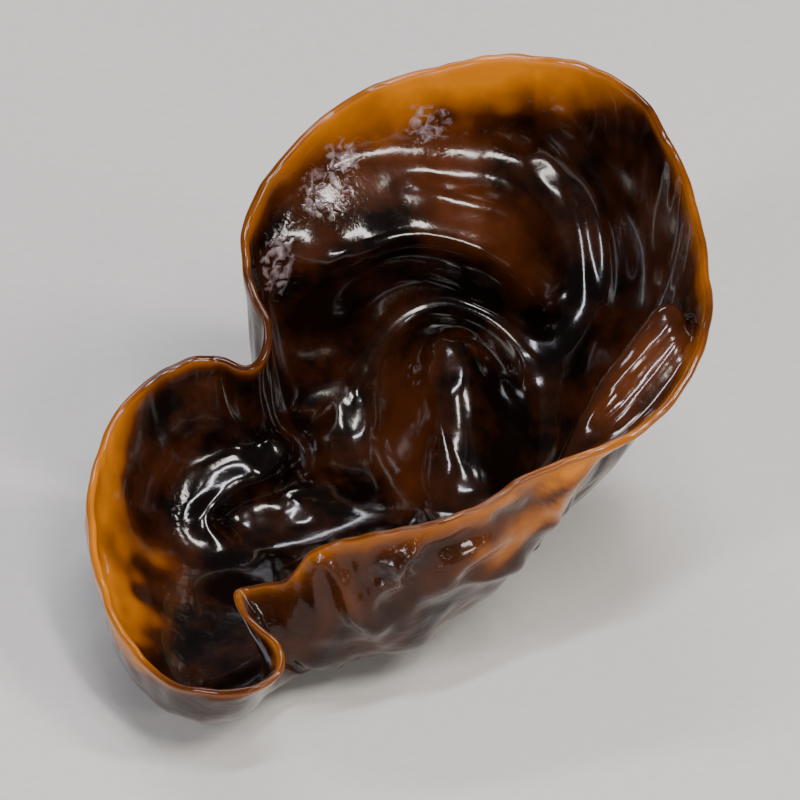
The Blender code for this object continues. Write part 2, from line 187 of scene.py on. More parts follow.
def sheet(around, along):
    """The plain sheet: (1-v)^3 foot + 3(1-v)^2 v floor + 3(1-v) v^2 wall + v^3 rim, sagging between."""
    foot = np.array([0.0, 0.0, FOOT_HEIGHT])
    floor_reach, sag, wall_reach, wall_height = ring_table(WALL, around).T[..., None]
    even_rim = evened(rim, around)
    soft_rim = smooth_ring(rim, WALL_SOFTNESS)
    pleat = np.exp(-(((around - PLEAT_PLACE) / PLEAT_HALF_WIDTH) ** 2))[:, None]
    soft_rim[:, :2] += pleat * (even_rim - soft_rim)[:, :2]
    wall = foot + wall_reach * (soft_rim - foot)
    wall[:, 2] = FOOT_HEIGHT + wall_height[:, 0] * (soft_rim[:, 2] - FOOT_HEIGHT)
    floor = foot + floor_reach * even_rim

    def loft(v):
        v = np.asarray(v)[None, :, None]
        near_foot = (1.0 - v) ** 3 * foot + 3.0 * (1.0 - v) ** 2 * v * floor[:, None]
        points = near_foot + 3.0 * (1.0 - v) * v**2 * wall[:, None] + v**3 * rim[:, None]
        points[..., 2] -= sag * (4.0 * v * (1.0 - v))[..., 0] ** 2
        return points

    middle = 0.5 * (COLLAR_FROM + COLLAR_TO)
    half = 0.5 * (COLLAR_TO - COLLAR_FROM)
    inside = np.clip((around - middle) / half, -1.0, 1.0)
    swell = np.cos(0.5 * np.pi * inside)[:, None]
    strength = 1.0 - smoothstep(0.25, 1.0, np.abs(inside))[:, None]
    crest = rim + np.array(COLLAR_CREST) * (0.2 + 0.8 * swell)
    pull = (crest - loft([COLLAR_PLACE])[:, 0]) * strength
    width = np.where(along < COLLAR_PLACE, 0.075, 0.085)
    bump = np.exp(-(((along - COLLAR_PLACE) / width) ** 2)) * (1.0 - smoothstep(0.93, 1.0, along))
    return loft(along) + pull[:, None] * bump[None, :, None]


def facing(points):
    """Unit normals on the cup's inner side: the step round the ear crossed with the step outward."""
    step_round = np.roll(points, -1, axis=0) - np.roll(points, 1, axis=0)
    normal = np.cross(step_round, np.gradient(points, axis=1))
    normal[:, 0] = normal[:, 1:3].sum(axis=(0, 1))
    normal = normal / np.linalg.norm(normal, axis=-1, keepdims=True)
    normal = smooth_ring(normal, NORMAL_SOFTNESS)
    return normal / np.linalg.norm(normal, axis=-1, keepdims=True)


# %% [markdown]
# ## Rolls, knob and pleats
#
# Soaked flesh lies in soft rolls: an arch under the back wall with a channel above it, two low folds
# in the lobe, an egg-shaped knob over the foot, and pleats that hang down the lip. They could be
# sculpted, but a stroke is easier to place: Gaussians laid along a path and added up, as a finger
# would push the flesh. Paths are given as the eye sees them from the front, across and up.

# %% Strokes
ARCH_PATH = [
    (-11.6, 24.0), (-14.9, 30.9), (-12.0, 36.9), (-4.1, 40.2),
    (4.9, 39.0), (11.4, 35.2), (15.9, 29.9), (18.2, 22.6),
]
ARCH_HEIGHT = 6.8
ARCH_WIDTH = 5.2
CHANNEL_PATH = [(-0.1, 50.9), (7.8, 49.9), (15.0, 46.6), (20.4, 39.4), (22.6, 30.1), (21.1, 21.8)]
CHANNEL_DEPTH = 1.8
CHANNEL_WIDTH = 3.5
LOBE_FOLD_PATH = [(-10.5, 12.1), (-18.1, 9.2), (-24.9, 5.6), (-26.7, 2.7), (-23.9, -0.2), (-18.1, -0.9)]
LOBE_FOLD_HEIGHT = 1.5
LOBE_LINE_PATH = [(-10.2, 18.2), (-15.6, 13.1), (-23.9, 8.5), (-28.9, 6.3)]
LOBE_LINE_HEIGHT = 1.2
LOBE_WIDTH = 1.8
KNOB_PLACE = (3.1, 14.5)
KNOB_LEFT = 7.0
KNOB_RIGHT = 8.0
KNOB_LONG = 10.2
KNOB_TURN = math.radians(8.0)
KNOB_HEIGHT = 11.5
KNOB_STEEPNESS = 2.6
KNOB_WAY = np.array([0.0, -0.35, 0.94])  # the way it stands out of the floor


def front_view(points):
    """Where points are seen from the front: across, and rise = back sin a + height cos a."""
    return points[..., 0], points[..., 1] * np.sin(LOOK_DOWN) + points[..., 2] * np.cos(LOOK_DOWN)


def roll(seen, path, height, width, fade=0.3):
    """A rounded roll: height exp(-d^2/width^2) summed along a Catmull-Rom path, fading at its ends."""
    path = np.array(path)
    ends = np.vstack([2.0 * path[0] - path[1], path, 2.0 * path[-1] - path[-2]])
    t = np.linspace(0.0, len(path) - 1.0, 200)
    k = np.minimum(t.astype(int), len(path) - 2)
    f = (t - k)[:, None]
    a, b, c, d = (ends[k + i] for i in range(4))
    line = b + 0.5 * f * (c - a + f * (2.0 * a - 5.0 * b + 4.0 * c - d + f * (3.0 * (b - c) + d - a)))
    run = np.concatenate([[0.0], np.cumsum(np.linalg.norm(np.diff(line, axis=0), axis=1))])
    count = int(np.ceil(run[-1] / (0.5 * width)))
    share = (np.arange(count) + 0.5) / count
    spots = np.stack([np.interp(share * run[-1], run, line[:, i]) for i in range(2)], axis=1)
    gain = height * run[-1] / count / (width * np.sqrt(np.pi))
    gains = gain * smoothstep(0.0, fade, share) * smoothstep(0.0, fade, 1.0 - share)
    away = (seen[0][..., None] - spots[:, 0]) ** 2 + (seen[1][..., None] - spots[:, 1]) ** 2
    return (gains * np.exp(-away / width**2)).sum(axis=-1)


def knob(seen):
    """An egg-shaped lump: height times exp(-r^steepness), with r in half widths of a turned egg."""
    across = seen[0] - KNOB_PLACE[0]
    rise = seen[1] - KNOB_PLACE[1]
    wide = across * np.cos(KNOB_TURN) + rise * np.sin(KNOB_TURN)
    long = rise * np.cos(KNOB_TURN) - across * np.sin(KNOB_TURN)
    wide = wide / np.where(wide < 0.0, KNOB_LEFT, KNOB_RIGHT)
    return KNOB_HEIGHT * np.exp(-((wide**2 + (long / KNOB_LONG) ** 2) ** (KNOB_STEEPNESS / 2.0)))


def inner_forms(seen, u, v):
    """How far the rolls and the knob stand out of the sheet; the near wall stays plain."""
    lip = smoothstep(0.20, 0.25, u) * (1.0 - smoothstep(0.52, 0.60, u)) * smoothstep(0.40, 0.60, v)
    right = smoothstep(0.13, 0.17, u) * (1.0 - smoothstep(0.24, 0.28, u)) * smoothstep(0.5, 0.65, v)
    open_side = (1.0 - lip) * (1.0 - right)
    rolls = roll(seen, ARCH_PATH, ARCH_HEIGHT, ARCH_WIDTH)
    rolls -= roll(seen, CHANNEL_PATH, CHANNEL_DEPTH, CHANNEL_WIDTH)
    rolls += roll(seen, LOBE_FOLD_PATH, LOBE_FOLD_HEIGHT, LOBE_WIDTH)
    rolls += roll(seen, LOBE_LINE_PATH, LOBE_LINE_HEIGHT, LOBE_WIDTH)
    rolls *= open_side * (1.0 - smoothstep(0.88, 1.0, v))
    return rolls, knob(seen) * open_side, open_side


# %% [markdown]
# ## Fine relief
#
# A wet surface shows its smallest waves, because each one bends the highlights. Real flesh has
# slow swells, dimples a few millimetres across, ripples that follow the arch, and small puckers
# square to the margin. Blender's Displace modifier could add one pattern everywhere, but here each
# relief belongs to one place, so they are added in numpy: noise with its size in millimetres, and
# strokes again for the ripples.

# %% Noise and relief
ROLLS_SHOW_OUTSIDE = 0.5
KNOB_SHOWS_OUTSIDE = 0.3
VEIN_COUNT = 11
VEIN_HEIGHT = 0.45
LIP_PLEATS = [
    ([(22.2, 12.4), (15.7, 9.9), (13.2, 6.3), (9.3, 0.9), (3.5, -4.5)], 1.6, 1.3),
    ([(13.6, 8.5), (9.3, 4.1), (4.2, 0.5), (-0.1, -3.1), (-2.3, -5.9)], 1.4, 1.2),
    ([(5.3, 3.8), (-0.1, 1.6), (-4.4, -1.3), (-5.9, -5.2)], 1.1, 1.1),
    ([(-12.0, 0.2), (-9.1, -2.3), (-8.4, -5.6), (-5.9, -8.1)], 1.2, 1.0),
]
FINE_LIP_PLEATS = [
    ([(14.3, 7.7), (9.3, 4.9), (4.6, 2.3), (-1.5, 1.3), (-7.3, 0.4)], -0.9, 0.9),
    ([(19.0, 11.5), (14.0, 7.6), (11.0, 3.2), (7.0, -1.0)], 0.8, 0.8),
    ([(17.5, 9.2), (15.2, 5.0), (12.0, 0.8), (8.2, -3.2)], 0.8, 0.8),
    ([(13.9, 9.2), (12.8, 6.3), (12.5, 3.8)], 0.7, 0.7),
    ([(11.1, 2.7), (9.3, 0.5), (6.0, -1.3), (2.4, -2.7), (-1.2, -5.2)], 0.9, 0.8),
    ([(1.0, 3.2), (-1.8, 0.6), (-3.6, -2.6)], 0.7, 0.7),
    ([(-8.4, -2.7), (-7.7, -5.6), (-6.6, -7.0), (-4.1, -9.2)], 1.1, 0.9),
    ([(-4.4, -2.3), (-6.2, -4.5), (-5.5, -6.7), (-3.0, -7.8)], 1.0, 0.8),
    ([(-5.5, 2.4), (-7.0, -0.5), (-6.6, -3.4)], 0.7, 0.7),
    ([(-11.0, 1.5), (-12.5, -2.0), (-11.5, -6.5)], 0.7, 0.9),
]
LIP_KNOT = (-3.3, -1.6, 3.2)  # across, rise and half width of the crinkled knot on the lip
# Fine crests of the inner face that carry the long highlights: path, height, width
CRESTS = [
    ([(-3.0, 43.9), (-1.2, 42.3), (3.1, 41.0), (8.7, 40.1), (11.6, 38.3), (13.5, 35.2), (16.0, 31.0)], 0.9, 2.0),
    ([(16.8, 43.9), (18.6, 41.9), (19.7, 38.3), (20.4, 33.7), (21.1, 28.3)], 0.45, 1.0),
    ([(7.8, 49.5), (10.5, 48.1), (13.6, 47.3)], 0.35, 0.9),
    ([(13.6, 45.9), (15.2, 44.5), (16.5, 42.7)], 0.22, 1.2),
    ([(-4.4, 19.3), (-3.3, 22.5), (-1.5, 24.7), (2.1, 24.7), (3.5, 22.5)], 0.3, 0.9),
    ([(1.3, 17.1), (2.8, 12.4), (4.8, 8.8)], 0.3, 0.9),
]
# Long low lines inside the gutter of the rolled right margin
GUTTER_LINES = [
    ([(30.5, 27.9), (24.4, 21.8), (20.1, 16.7), (17.2, 13.5)], 0.40, 0.7),
    ([(30.9, 26.1), (27.3, 21.4), (22.6, 15.7), (18.6, 12.8)], 0.40, 0.7),
]
# Rumpled flesh beside the knob and on the way to the lobe: across, rise, radius, height
RUMPLES = [(-16.5, 4.0, 6.5, 0.34), (3.1, 24.0, 4.5, 0.26), (11.0, 18.0, 4.5, 0.24), (-6.5, 17.0, 4.0, 0.24)]
RIPPLE_CENTRE = (1.0, 24.0)
RIPPLE_SHARES = (0.82, 0.73, 0.64, 0.55)
RIPPLE_HEIGHT = 0.22
RIPPLE_WIDTH = 0.8


def noise(points, size, seed):
    """Random numbers at the corners of cubes of this size, blended by 6t^5-15t^4+10t^3; -1 to 1."""
    lattice = np.random.default_rng(seed).uniform(-1.0, 1.0, (32, 32, 32))
    cell = np.floor(points / size).astype(int)
    t = points / size - cell
    t = t**3 * (t * (6.0 * t - 15.0) + 10.0)
    total = np.zeros(points.shape[:-1])
    for corner in np.ndindex(2, 2, 2):
        i = (cell + corner) % 32
        weight = np.prod(np.where(corner, t, 1.0 - t), axis=-1)
        total += lattice[i[..., 0], i[..., 1], i[..., 2]] * weight
    return total


def swells(u, v):
    """Slow swells of the soft flesh: a few sines round the ear, faded out at the foot and the rim."""
    swell = 0.5 * np.sin(8.0 * np.pi * u + 6.0 * v) + 0.3 * np.sin(14.0 * np.pi * u - 5.0 * v + 2.0)
    return swell * (4.0 * v * (1.0 - v)) ** 2


def inner_relief(points, seen, u, v, open_side):
    """Dimples at two sizes, ripples inside the arch, fine crests, and puckers near the margin."""
    dimples = 0.12 * noise(points, 9.0, 1) + 0.03 * noise(points, 4.0, 2)
    crests = sum(roll(seen, path, height, width, 0.2) for path, height, width in CRESTS)
    lines = sum(roll(seen, path, height, width, 0.2) for path, height, width in GUTTER_LINES)
    rumple = noise(points, 2.8, 10)
    for across, rise, radius, height in RUMPLES:
        away = np.hypot(seen[0] - across, seen[1] - rise) / radius
        dimples += height * rumple * np.exp(-(away**4))
    low = smoothstep(0.11, 0.14, u) * (1.0 - smoothstep(0.27, 0.30, u)) * smoothstep(0.7, 0.8, v)
    centre = np.array(RIPPLE_CENTRE)
    ripples = sum(
        roll(seen, centre + share * (np.array(ARCH_PATH)[1:-1] - centre), RIPPLE_HEIGHT, RIPPLE_WIDTH)
        for share in RIPPLE_SHARES
    )
    wander = noise(points, 7.0, 4)
    puckers = np.sin(2.0 * np.pi * 67.0 * u + 3.0 * wander) * smoothstep(0.72, 0.92, v)
    puckers = 0.07 * puckers * smoothstep(0.0, 0.7, noise(points, 11.0, 5))
    forms = (ripples + crests) * open_side + lines * low
    return dimples * smoothstep(0.0, 0.15, v) + forms + puckers


def outer_relief(points, seen, u, v):
    """Pleats on the lip, veins that gather at the foot, and fine wrinkles that run with them."""
    lip = smoothstep(0.20, 0.235, u) * (1.0 - smoothstep(0.42, 0.46, u)) * smoothstep(0.35, 0.5, v)
    pleats = sum(roll(seen, path, height, width) for path, height, width in LIP_PLEATS)
    pleats = pleats + sum(roll(seen, path, height, width) for path, height, width in FINE_LIP_PLEATS)
    vein = np.cos(2.0 * np.pi * VEIN_COUNT * u + 1.5 * np.sin(6.0 * np.pi * u))
    veins = VEIN_HEIGHT * vein * smoothstep(0.12, 0.25, v) * (1.0 - smoothstep(0.35, 0.8, v))
    way = np.stack([u * 150.0, v * 9.0, 0.0 * u], axis=-1)
    wrinkles = (0.32 * noise(way, 2.6, 6) + 0.12 * noise(way, 1.1, 16)) * smoothstep(0.12, 0.30, v)
    dimples = 0.20 * noise(points, 8.0, 7) + 0.05 * noise(points, 3.0, 8)
    away = np.hypot(seen[0] - LIP_KNOT[0], seen[1] - LIP_KNOT[1]) / LIP_KNOT[2]
    knot = 0.8 * noise(points, 1.6, 9) * np.exp(-(away**4))
    rumpled = 0.25 * noise(points, 2.2, 17)
    return (pleats + knot + rumpled) * lip + veins + wrinkles + dimples * smoothstep(0.1, 0.3, v)


# %% [markdown]
# ## From a sheet to flesh
#
# The sheet now gets its two faces. Solidify would give one thickness, but the flesh is a millimetre
# thin at the margin and more than two over the foot, so each face is moved along the sheet's own
# normal by its own amount. The margin between them is a half round. Rows that follow each other
# from the middle of the foot's cut, up the outer face, over the margin and down the inner face make
# one closed skin with a pole at each end.

# %% Faces of the flesh
BODY_THICKNESS = 2.2
MARGIN_THICKNESS = 1.0
THICKENS_OVER = 0.45
PLEAT_THINNING = 0.3
INNER_ROWS = 116
OUTER_ROWS = 68
MARGIN_ANGLES = np.radians([-60.0, -30.0, 0.0, 30.0, 60.0])
FOOT_HALF_ACROSS = 6.8
FOOT_HALF_DEEP = 5.8


def thickness(u, v):
    """Thin at the margin, full over the foot, and thinner where the flesh is pleated."""
    swell = smoothstep(0.0, THICKENS_OVER, 1.0 - v)
    pleat = np.exp(-(((u - PLEAT_PLACE) / PLEAT_HALF_WIDTH) ** 2)) * smoothstep(0.15, 0.4, v)
    full = MARGIN_THICKNESS + (BODY_THICKNESS - MARGIN_THICKNESS) * swell
    return full * (1.0 - PLEAT_THINNING * pleat)


def margin_waves(u):
    """Small uneven waves of the margin: how far it draws in, and how far it ruffles up and down."""
    ring = np.stack([np.cos(2.0 * np.pi * u), np.sin(2.0 * np.pi * u), 0.0 * u], axis=-1) * rim_length / 6.3
    draw = 0.35 * noise(ring, 5.0, 11) + 0.18 * noise(ring, 2.4, 12) - 0.35
    return draw, 0.30 * noise(ring, 6.0, 13) + 0.12 * noise(ring, 2.6, 14)


def plain_face(along):
    """The sheet with its swells and its waved margin, its normals, and u, v and the front view."""
    u, v = np.meshgrid(turn, along, indexing="ij")
    points = sheet(turn, along)
    up = facing(points)
    last = sheet(turn, np.array([0.98, 1.0]))
    outward = last[:, 1] - last[:, 0]
    outward /= np.linalg.norm(outward, axis=1, keepdims=True)
    draw, ruffle = margin_waves(turn)
    points = points + (outward * draw[:, None])[:, None] * (v**10)[..., None]
    points = points + up * (swells(u, v) + ruffle[:, None] * v**6)[..., None]
    return points, up, outward, u, v, front_view(points)


def inner_face():
    """Inner face: sheet + normal (half + rolls) + knob, and then its own normal times the relief."""
    along = np.linspace(0.0, 1.0, INNER_ROWS) ** 0.9
    points, up, outward, u, v, seen = plain_face(along)
    rolls, lump, open_side = inner_forms(seen, u, v)
    half = 0.5 * thickness(u, v)
    face = points + up * (half + rolls)[..., None] + lump[..., None] * KNOB_WAY
    relief = inner_relief(points, front_view(face), u, v, open_side) * (1.0 - smoothstep(0.985, 1.0, v))
    return points, face + facing(face) * relief[..., None], up, outward, half


def outer_face():
    """Outer face: sheet - normal (half + relief - part of the rolls) + part of the knob."""
    along = np.linspace(0.0, 1.0, OUTER_ROWS) ** 0.8
    points, up, outward, u, v, seen = plain_face(along)
    rolls, lump, _ = inner_forms(seen, u, v)
    relief = outer_relief(points, seen, u, v) * (1.0 - smoothstep(0.97, 1.0, v))
    face = points - up * (0.5 * thickness(u, v) + relief - ROLLS_SHOW_OUTSIDE * rolls)[..., None]
    return face + KNOB_SHOWS_OUTSIDE * lump[..., None] * KNOB_WAY


def margin(centre, up, outward, half):
    """The half round between the faces: centre + half (normal sin a + outward cos a)."""
    a = MARGIN_ANGLES[None, :, None]
    return centre[:, None] + half[:, None, None] * (up[:, None] * np.sin(a) + outward[:, None] * np.cos(a))


middle, inner, inner_up, outward, half = inner_face()
outer = outer_face()
edge = margin(middle[:, -1], inner_up[:, -1], outward, half[:, -1])
print("inner face", inner.shape, "outer face", outer.shape, "margin", edge.shape)

# %% [markdown]
# ## The foot
#
# The ear grew from one spot of the log, where it narrows to a short stub that a knife cut off flat.
# The stub is an oval that flares into the belly. It could be a cylinder joined by a Boolean, but as
# more rows of the same skin it flows into the flesh without a seam.

# %% Foot rows
BELLY_CLEARS_FOOT = 1.45
CUT_RINGS = (0.12, 0.26, 0.40, 0.54, 0.68, 0.82, 0.94, 1.0)
SIDE_RINGS = ((1.025, 0.12), (1.04, 0.4), (1.05, 0.7), (1.06, 1.0), (1.08, 1.3))
FLARES = ((0.0, 0.0), (0.12, 0.3), (0.25, 0.5), (0.4, 0.65), (0.6, 0.8), (0.8, 0.92))

reach = np.hypot(outer[..., 0] / FOOT_HALF_ACROSS, outer[..., 1] / FOOT_HALF_DEEP)
first = int(np.argmax(reach.min(axis=0) > BELLY_CLEARS_FOOT))
angle = np.arctan2(outer[:, first, 1], outer[:, first, 0])
heading = np.stack([np.cos(angle), np.sin(angle)], axis=1)
oval = 1.0 / np.hypot(heading[:, 0] / FOOT_HALF_ACROSS, heading[:, 1] / FOOT_HALF_DEEP)


def foot_ring(size, height):
    """A ring of the oval foot at this size and height, seen along the belly's own bearings."""
    flat = heading * oval[:, None] * size
    return np.concatenate([flat, np.full((AROUND, 1), height)], axis=1)


base = foot_ring(1.12, 1.6)
flares = [base + (outer[:, first] - base) * np.array([out, out, rise]) for out, rise in FLARES]
foot = [foot_ring(size, 0.0) for size in CUT_RINGS]
foot += [foot_ring(size, height) for size, height in SIDE_RINGS]
foot = np.stack(foot + flares, axis=1)
print("foot rows", foot.shape[1], "belly starts at row", first)

# %% [markdown]
# ## One closed mesh
#
# The rows are joined with quads, and a fan of triangles closes each pole. from_pydata is slow on a
# hundred thousand faces, so foreach_set hands whole arrays to the mesh.

# %% Skin mesh
rows = np.concatenate([foot, outer[:, first:], edge, inner[:, :0:-1]], axis=1)
LONG = rows.shape[1]
FOOT_ROWS = foot.shape[1]
CUT_ROWS = len(CUT_RINGS)
INNER_START = LONG - (INNER_ROWS - 1)


def closed_mesh(name, rows, start_pole, end_pole):
    """Quads between neighbouring rows of a ring grid, and one fan of triangles at each end."""
    around, along = rows.shape[:2]
    points = np.vstack([rows.reshape(-1, 3), [start_pole], [end_pole]])
    column = np.arange(around)[:, None]
    row = np.arange(along - 1)[None, :]
    here = column * along + row
    beside = (column + 1) % around * along + row
    quads = np.stack([here, here + 1, beside + 1, beside], axis=-1).reshape(-1, 4)
    start = np.arange(around) * along
    after = np.roll(start, -1)
    pole = np.full(around, around * along)
    start_fan = np.stack([start, after, pole], axis=1)
    end_fan = np.stack([after + along - 1, start + along - 1, pole + 1], axis=1)
    corners = np.concatenate([quads.ravel(), start_fan.ravel(), end_fan.ravel()]).astype(np.int32)
    sizes = np.concatenate([np.full(len(quads), 4), np.full(2 * around, 3)])
    mesh = bpy.data.meshes.new(name)
    mesh.vertices.add(len(points))
    mesh.vertices.foreach_set("co", (points * MM).astype(np.float32).ravel())
    mesh.loops.add(len(corners))
    mesh.loops.foreach_set("vertex_index", corners)
    mesh.polygons.add(len(sizes))
    mesh.polygons.foreach_set("loop_start", np.concatenate([[0], np.cumsum(sizes)[:-1]]).astype(np.int32))
    mesh.update(calc_edges=True)
    mesh.validate()
    mesh.shade_smooth()
    return mesh, np.tile(np.arange(along - 1), around)


skin, quad_rows = closed_mesh("soaked_flesh", rows, (0.0, 0.0, 0.0), inner[0, 0])
ear = bpy.data.objects.new("soaked_flesh", skin)
bpy.context.scene.collection.objects.link(ear)
print("skin:", len(skin.vertices), "points,", sum(len(p.vertices) - 2 for p in skin.polygons), "triangles")

# %% [markdown]
# ## Where the flesh glows: painted backlight
#
# The margin is thin, paler flesh, and light that shines through it makes it amber. Here that amber is
# painted into the colour: widest at the top of the back wall, along the lobe's left side and on the lip
# near its twist. The painted glow depends on the distance to the margin along the sheet, so it is
# worked out for each vertex and stored as an attribute for the materials.

# %% Attributes
# Painted backlight, amber where light would shine through the thin flesh: share of the way round,
# width of the amber band on the inner face and on the outer face in millimetres, and its strength
GLOW = [
    (0.000, 7.5, 3.6, 1.00), (0.025, 4.0, 3.2, 0.66), (0.055, 2.2, 2.8, 0.52), (0.085, 2.4, 2.4, 0.52),
    (0.115, 3.4, 2.4, 0.60), (0.160, 3.4, 2.2, 0.55), (0.240, 2.0, 3.8, 0.76), (0.290, 1.2, 3.0, 0.60),
    (0.340, 0.9, 2.2, 0.52), (0.400, 0.7, 1.8, 0.50), (0.460, 0.9, 0.9, 0.50), (0.540, 1.2, 1.2, 0.48),
    (0.566, 2.2, 1.6, 0.75), (0.595, 5.5, 2.0, 1.10), (0.625, 9.5, 2.4, 1.20), (0.655, 10.5, 2.2, 1.18),
    (0.680, 7.0, 2.0, 0.95), (0.705, 1.6, 1.6, 0.46), (0.780, 1.2, 1.2, 0.42), (0.840, 2.0, 2.0, 0.50),
    (0.900, 4.0, 2.4, 0.72), (0.950, 7.5, 3.0, 0.95),
]
# Crinkled patches of the inner face, with a painted pale highlight on the crinkles, as seen from
# the front: across, rise, half width, half height, strength
CRINKLE_AND_PAINTED_SHEEN_PATCHES = [
    (0.6, 50.0, 4.2, 3.6, 1.0), (-9.6, 45.6, 3.4, 4.0, 1.0), (-17.0, 33.6, 2.8, 6.0, 1.0),
    (-11.5, 42.0, 5.0, 5.0, 1.0), (-1.0, 20.6, 1.9, 3.6, 0.75), (-28.6, 4.2, 1.6, 3.6, 0.7),
]
# Painted backlight on the thin, golden flesh that fans out over the lip from where the rim turns
# over: path, strength, width
LIP_GLOW = [
    ([(22.0, 11.8), (17.5, 8.2), (14.6, 3.5), (9.6, -2.2), (2.6, -8.5)], 0.52, 2.0),
    ([(21.0, 12.0), (15.0, 9.0), (9.0, 5.5), (3.0, 3.0)], 0.50, 2.2),
    ([(20.0, 11.0), (12.0, 4.5), (4.0, 0.5), (-4.0, -1.5)], 0.20, 4.0),
    ([(19.0, 10.8), (14.5, 6.2), (9.5, 1.6), (3.5, -2.5)], 0.32, 1.9),
    ([(-8.8, -0.6), (-9.2, -4.2), (-6.0, -8.2)], 0.26, 1.5),
]
LIP_TWIST = (23.0, 13.0)  # where the rim turns over and the streaks of the lip start
# The downy face grew in faint zones that follow the margin, some lighter and some darker
ZONE_SPACING = 7.0
ZONE_STRENGTH = 0.30
# Painted light: the lip's outer face is made a lighter, golden brown, as light through the thin flesh
LIP_PAINTED_LIGHT = 0.30
# Painted light: a redder brown where light falls on and shines through the knob's left side, the
# arch, the walls and the gutter: path, strength, width
PAINTED_LIGHT_STROKES = [
    ([(-1.6, 23.5), (-2.0, 17.0), (-1.8, 10.0), (0.0, 5.0)], 0.95, 3.6),
    ([(-16.0, 31.0), (-13.5, 40.0), (-5.0, 45.0), (4.0, 45.5), (12.0, 42.0)], 0.36, 5.0),
    ([(-3.0, 41.0), (5.0, 39.0), (11.0, 35.0), (14.5, 28.0)], 0.55, 3.5),
    ([(-28.0, 12.0), (-32.0, 4.0), (-30.0, -6.0), (-22.0, -12.0)], 0.20, 4.0),
    ([(24.0, 44.0), (28.5, 36.0), (28.0, 28.0)], 0.50, 3.5),
    ([(-14.0, -3.0), (-12.0, -8.0)], 0.40, 3.0),
    ([(29.0, 26.0), (24.0, 20.5), (18.5, 14.0)], 0.90, 2.6),
]


def distance_to_margin(points):
    """Length of the way along each column from a point to the last point of that column."""
    steps = np.linalg.norm(np.diff(points, axis=1), axis=2)
    return np.concatenate([np.cumsum(steps[:, ::-1], axis=1)[:, ::-1], np.zeros((len(points), 1))], axis=1)


# Painted backlight: how much amber, as light through the thin flesh, is painted at each point
def glow(points, width, strength):
    """Strength times exp(-(d/width)^1.4), with the width pushed in and out by noise, and streaked."""
    away = distance_to_margin(points)
    uneven = 1.0 + 0.45 * noise(points, 6.0, 21) + 0.25 * noise(points, 2.5, 22)
    across = np.stack([turn[:, None] * rim_length + 0.0 * away, 0.25 * away, 0.0 * away], axis=-1)
    streaks = 1.0 + 0.06 * noise(across, 1.6, 23) + 0.18 * noise(across, 5.0, 24)
    return strength[:, None] * streaks * np.exp(-((away / (width[:, None] * uneven)) ** 1.4))


inner_band, outer_band, band_strength = ring_table(GLOW, turn, 0.008).T
inner_glow = glow(inner, inner_band, band_strength)
outer_glow = glow(outer[:, first:], outer_band, band_strength)
lip_sector = (smoothstep(0.16, 0.29, turn) * (1.0 - smoothstep(0.38, 0.45, turn)))[:, None]
lip_view = front_view(outer[:, first:])
lip_glow = sum(roll(lip_view, path, height, width, 0.15) for path, height, width in LIP_GLOW)
from_twist = (lip_view[0] - LIP_TWIST[0], lip_view[1] - LIP_TWIST[1])
fan = np.stack([17.0 * np.arctan2(from_twist[1], -from_twist[0]), 0.15 * np.hypot(*from_twist)], axis=-1)
fan = np.concatenate([fan, 0.0 * fan[..., :1]], axis=-1)
lip_glow *= 0.70 + 0.55 * noise(fan, 1.3, 25) + 0.25 * noise(outer[:, first:], 3.0, 26)
lip_reach = 1.0 - smoothstep(5.0, 17.0, distance_to_margin(outer[:, first:]))
outer_glow = np.maximum(outer_glow, np.clip(lip_glow, 0.0, 1.0) * lip_sector * lip_reach)
# The margin's half round gets 0.7 of the inner face's painted backlight
edge_glow = 0.7 * np.repeat(inner_glow[:, -1:], len(MARGIN_ANGLES), axis=1)
glow_rows = np.concatenate([np.zeros((AROUND, FOOT_ROWS)), outer_glow, edge_glow, inner_glow[:, :0:-1]], axis=1)
seen_across, seen_rise = front_view(rows)
# Crinkle, and a painted pale highlight on it, in patches of the inner face
crinkle_and_painted_sheen = np.zeros(seen_across.shape)
for across, rise, half_wide, half_high, strength in CRINKLE_AND_PAINTED_SHEEN_PATCHES:
    away = ((seen_across - across) / half_wide) ** 2 + ((seen_rise - rise) / half_high) ** 2
    crinkle_and_painted_sheen = np.maximum(crinkle_and_painted_sheen, strength * np.exp(-(away**1.5)))
crinkle_and_painted_sheen[:, :INNER_START] = 0.0
# The lip's crinkled knot and margin, with a faint painted pale highlight
knot_away = np.hypot(lip_view[0] - LIP_KNOT[0], lip_view[1] - LIP_KNOT[1]) / (1.5 * LIP_KNOT[2])
lip_crinkle = np.maximum(np.exp(-(knot_away**2)), 0.55 * lip_reach) * lip_sector
crinkle_and_painted_sheen[:, FOOT_ROWS:FOOT_ROWS + OUTER_ROWS - first] = lip_crinkle
# Painted light: redder brown strokes, kept on the inner face only
painted_light_and_zones = sum(roll((seen_across, seen_rise), path, height, width, 0.2) for path, height, width in PAINTED_LIGHT_STROKES)
painted_light_and_zones[:, :INNER_START] = 0.0
foot_share = np.zeros(seen_across.shape)
foot_share[:, :FOOT_ROWS] = 1.0
foot_share[:, FOOT_ROWS:FOOT_ROWS + OUTER_ROWS - first] = np.exp(-((reach[:, first:] - BELLY_CLEARS_FOOT) / 0.8))


def attribute(name, values, start=0.0, end=0.0):
    """Stores one number for each vertex: the grid's, then the two poles'."""
    data = skin.attributes.new(name, "FLOAT", "POINT").data
    data.foreach_set("value", np.concatenate([values.ravel(), [start, end]]).astype(np.float32))
    print(f"attribute {name}: {values.min():.2f} to {values.max():.2f}")


zone_phase = 2.0 * np.pi * distance_to_margin(outer[:, first:]) / ZONE_SPACING
zones = 0.5 + 0.5 * np.sin(zone_phase + 2.5 * noise(outer[:, first:], 9.0, 27))
